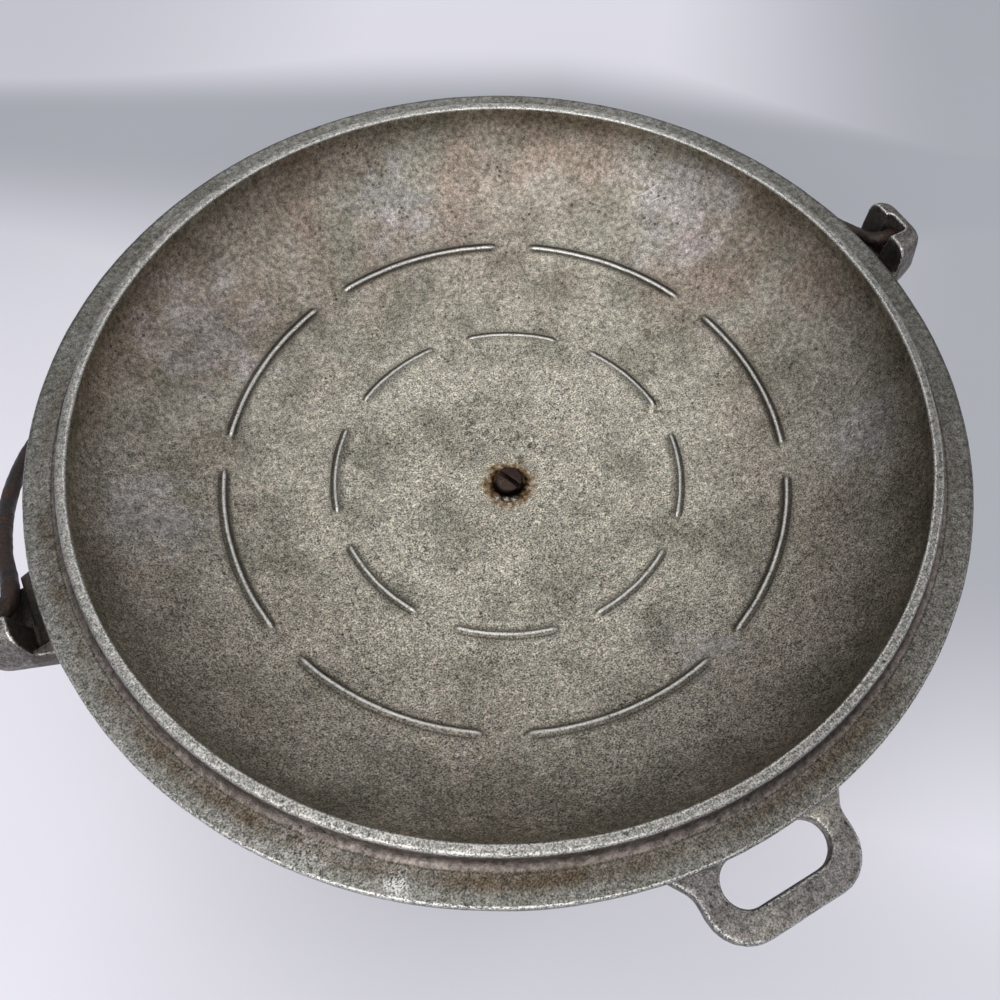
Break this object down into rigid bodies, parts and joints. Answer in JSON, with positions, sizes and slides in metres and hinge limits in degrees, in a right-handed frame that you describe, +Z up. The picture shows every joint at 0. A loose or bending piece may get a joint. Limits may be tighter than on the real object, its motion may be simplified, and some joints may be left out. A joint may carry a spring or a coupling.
{
  "type": "dutch oven",
  "caption": "Round cast aluminium dutch oven with a wire bail, a slotted tipping tab and a domed self-basting lid laid upside down on the mouth.",
  "frame": {"origin": "on the pot's axis at the flat underside of the base", "axes": "+Z up along the pot's axis, +X to one bail ear, +Y to the side on which the bail hangs, -Y to the tipping tab"},
  "size_m": [0.3074, 0.3106, 0.1176],
  "materials": {
    "pot_cast_aluminium": "sand-cast, worn grey",
    "lid_cast_aluminium": "sand-cast, seasoned olive grey",
    "knob_black": "dull black moulded",
    "insert_brass": "turned",
    "screw_rusty_steel": "rusty steel",
    "bail_rusty_steel": "dark rusty steel wire"
  },
  "bodies": {
    "pot_body": {"pot": "pot_cast_aluminium"},
    "lid_body": {"lid": "lid_cast_aluminium", "knob": "knob_black", "knob_insert": "insert_brass", "knob_screw": "screw_rusty_steel"},
    "bail_body": {"bail": "bail_rusty_steel"}
  },
  "joints": [
    {"name": "lid_lift", "type": "slide", "parent": "pot_body", "child": "lid_body", "axis": [0, 0, 1], "range_m": [0, 0.065]},
    {"name": "bail_hinge", "type": "hinge", "parent": "pot_body", "child": "bail_body", "pos_m": [0, 0.0062, 0.1071], "axis": [1, 0, 0], "range_deg": [0, 128]}
  ]
}
